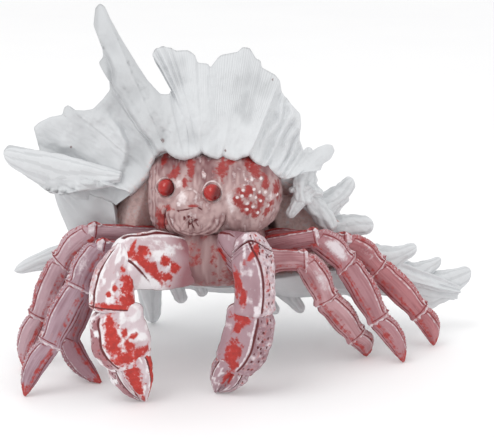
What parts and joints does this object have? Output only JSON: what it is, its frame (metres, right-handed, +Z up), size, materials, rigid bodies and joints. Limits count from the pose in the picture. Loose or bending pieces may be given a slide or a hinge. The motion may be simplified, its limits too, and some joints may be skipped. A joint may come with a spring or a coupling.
{
  "type": "hermit crab figurine",
  "caption": "Painted resin hermit crab ornament looking out of a spiny white sea shell, standing on its claws, legs and one shell spine.",
  "frame": {"origin": "on the floor, under the centre of the object's bounding box", "axes": "+Z up, -Y the way the crab faces, +X along the shell from its spire to its canal"},
  "size_m": [0.2734, 0.1604, 0.202],
  "materials": {
    "shell": "matte white paint with grey and pink washes in the hollows",
    "body": "satin paint, red patches under a pale wash",
    "limb": "satin paint, pale wash with red patches and dark red lines",
    "eye": "gloss red",
    "steel": "plain ground steel, hidden"
  },
  "bodies": {
    "root": {"shell": "shell", "crab_body": "body", "left_eye": "eye", "right_eye": "eye", "left_claw_upper_arm": "limb", "left_claw_wrist": "limb", "left_claw_palm": "limb", "left_claw_finger": "limb", "right_claw_upper_arm": "limb", "right_claw_wrist": "limb", "right_claw_palm": "limb", "right_claw_finger": "limb", "left_front_leg_thigh": "limb", "left_front_leg_knee": "limb", "left_front_leg_shin": "limb", "left_front_leg_toe": "limb", "left_middle_leg_thigh": "limb", "left_middle_leg_knee": "limb", "left_middle_leg_shin": "limb", "left_middle_leg_toe": "limb", "left_rear_leg_thigh": "limb", "left_rear_leg_knee": "limb", "left_rear_leg_shin": "limb", "left_rear_leg_toe": "limb", "right_front_leg_thigh": "limb", "right_front_leg_knee": "limb", "right_front_leg_shin": "limb", "right_front_leg_toe": "limb", "right_middle_leg_thigh": "limb", "right_middle_leg_knee": "limb", "right_middle_leg_shin": "limb", "right_middle_leg_toe": "limb", "right_rear_leg_thigh": "limb", "right_rear_leg_knee": "limb", "right_rear_leg_shin": "limb", "right_rear_leg_toe": "limb", "limb_dowels": "steel", "shell_dowel": "steel"}
  },
  "joints": []
}
